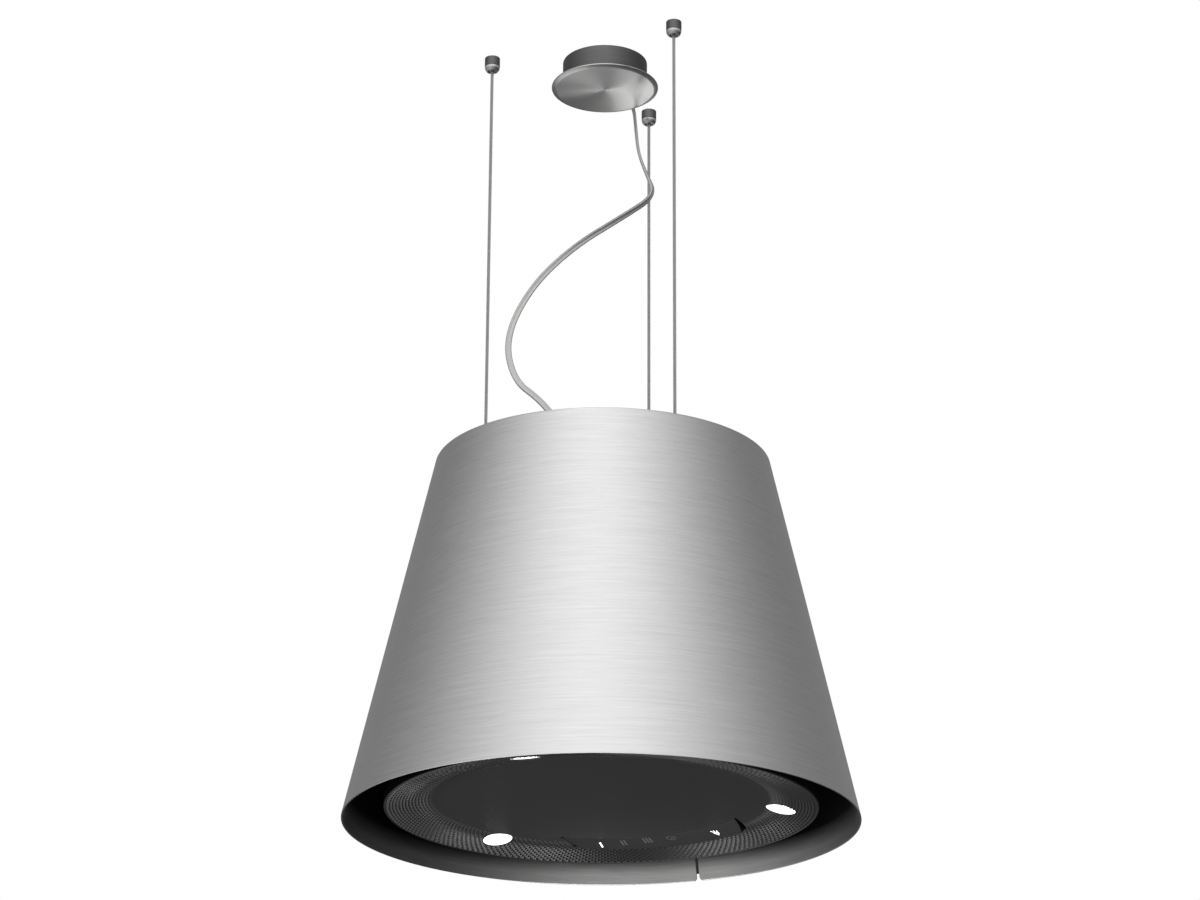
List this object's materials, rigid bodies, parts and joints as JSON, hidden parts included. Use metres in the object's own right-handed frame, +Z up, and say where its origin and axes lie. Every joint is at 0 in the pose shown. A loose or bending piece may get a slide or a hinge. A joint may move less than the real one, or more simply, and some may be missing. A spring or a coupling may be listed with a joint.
{
  "type": "island range hood",
  "caption": "Conical brushed-steel island range hood hung on cables from ceiling anchors, with a hinged dished panel, touch window, spots, fan and filters.",
  "frame": {"origin": "centre of the circle of the three ceiling anchors, in the ceiling plane, on the hood's axis", "axes": "+Z up along the hood's axis, -Y the front where the user stands, +Y the shell's seam and the touch window, +X to the user's right"},
  "size_m": [0.5, 0.4999, 0.817],
  "materials": {
    "shell_steel": "stainless sheet, fine horizontal brushing",
    "canopy_steel": "stainless, circular brushing",
    "dark_steel": "dark grey brushed",
    "cable_steel": "stranded steel wire",
    "zinc_sheet": "galvanised sheet",
    "zinc_screw": "zinc plated",
    "black_paint": "matte black powder coat",
    "panel_black": "satin black with a diamond relief",
    "window_black": "smooth satin black",
    "lens_white": "opal diffuser",
    "lamp_black": "black anodised",
    "rubber_black": "matte rubber",
    "clear_sheath": "clear sheath over silvered cores",
    "black_plastic": "moulded black",
    "grey_plastic": "moulded light grey",
    "board_green": "printed circuit board",
    "raw_aluminium": "bare aluminium",
    "cast_alloy": "die-cast motor can",
    "fan_plastic": "glass-filled plastic",
    "charcoal_black": "charcoal cartridge",
    "magnet_black": "nickel and black caps"
  },
  "bodies": {
    "ceiling_set": {"anchor_bases": "zinc_screw", "anchor_caps": "dark_steel", "cable_ferrules": "dark_steel", "suspension_cable_1": "cable_steel", "suspension_cable_2": "cable_steel", "suspension_cable_3": "cable_steel", "canopy_bracket": "zinc_sheet", "canopy_cup": "dark_steel", "canopy_disc": "canopy_steel", "cup_grommet": "rubber_black", "cord_clamp": "grey_plastic", "terminal_block": "grey_plastic", "power_cord": "clear_sheath"},
    "panel": {"bottom_panel": "panel_black", "control_window": "window_black", "touch_board": "board_green", "touch_cover": "black_plastic", "lamp_housings": "lamp_black", "lamp_lenses": "lens_white", "lamp_leads": "rubber_black", "hinge_arms": "zinc_sheet", "keeper_plates": "zinc_sheet"},
    "fan_wheel": {"impeller": "fan_plastic", "motor_shaft": "zinc_screw", "impeller_nut": "zinc_screw"},
    "charcoal_filter": {"charcoal_cartridge": "charcoal_black"},
    "latch_bolt": {"filter_latch": "black_plastic"},
    "release_1": {"gripper_plunger_1": "zinc_screw"},
    "release_2": {"gripper_plunger_2": "zinc_screw"},
    "release_3": {"gripper_plunger_3": "zinc_screw"},
    "hood": {"outer_shell": "shell_steel", "seam_strip": "rubber_black", "top_ring": "zinc_sheet", "top_grille": "black_paint", "cord_gland": "black_plastic", "gland_nut": "black_plastic", "cable_grippers": "zinc_screw", "gripper_nuts": "zinc_screw", "frame_uprights": "zinc_sheet", "lower_frame": "black_paint", "air_guide": "black_paint", "frame_screws": "zinc_screw", "blower_casing": "zinc_sheet", "inlet_ring": "zinc_sheet", "motor": "cast_alloy", "motor_bushes": "rubber_black", "motor_bracket": "zinc_sheet", "capacitor": "grey_plastic", "capacitor_clip": "black_plastic", "control_box": "black_plastic", "control_box_lid": "black_plastic", "control_board": "board_green", "lamp_driver": "grey_plastic", "inner_leads": "rubber_black", "grease_filter_frame": "raw_aluminium", "grease_filter_mesh": "raw_aluminium", "filter_handle": "black_plastic", "hinge_brackets": "black_paint", "hinge_pins": "zinc_screw", "catch_magnets": "magnet_black"}
  },
  "joints": [
    {"name": "height_adjust", "type": "slide", "parent": "ceiling_set", "child": "hood", "axis": [0, 0, 1], "range_m": [0, 0.1], "deforming": ["power_cord"]},
    {"name": "panel_hinge", "type": "hinge", "parent": "hood", "child": "panel", "pos_m": [0, 0.172, -0.781], "axis": [1, 0, 0], "range_deg": [0, 85]},
    {"name": "impeller_spin", "type": "hinge", "parent": "hood", "child": "fan_wheel", "pos_m": [0, 0, -0.649], "axis": [0, 0, 1], "continuous": true},
    {"name": "charcoal_twist", "type": "hinge", "parent": "hood", "child": "charcoal_filter", "pos_m": [0, 0, -0.721], "axis": [0, 0, 1], "range_deg": [0, 25]},
    {"name": "filter_latch_slide", "type": "slide", "parent": "hood", "child": "latch_bolt", "axis": [0, 1, 0], "range_m": [0, 0.006], "stiffness_N_per_m": 200, "springref_m": -0.003},
    {"name": "gripper_1_release", "type": "slide", "parent": "hood", "child": "release_1", "axis": [0, 0, -1], "range_m": [0, 0.003], "stiffness_N_per_m": 300, "springref_m": -0.002},
    {"name": "gripper_2_release", "type": "slide", "parent": "hood", "child": "release_2", "axis": [0, 0, -1], "range_m": [0, 0.003], "stiffness_N_per_m": 300, "springref_m": -0.002},
    {"name": "gripper_3_release", "type": "slide", "parent": "hood", "child": "release_3", "axis": [0, 0, -1], "range_m": [0, 0.003], "stiffness_N_per_m": 300, "springref_m": -0.002}
  ]
}
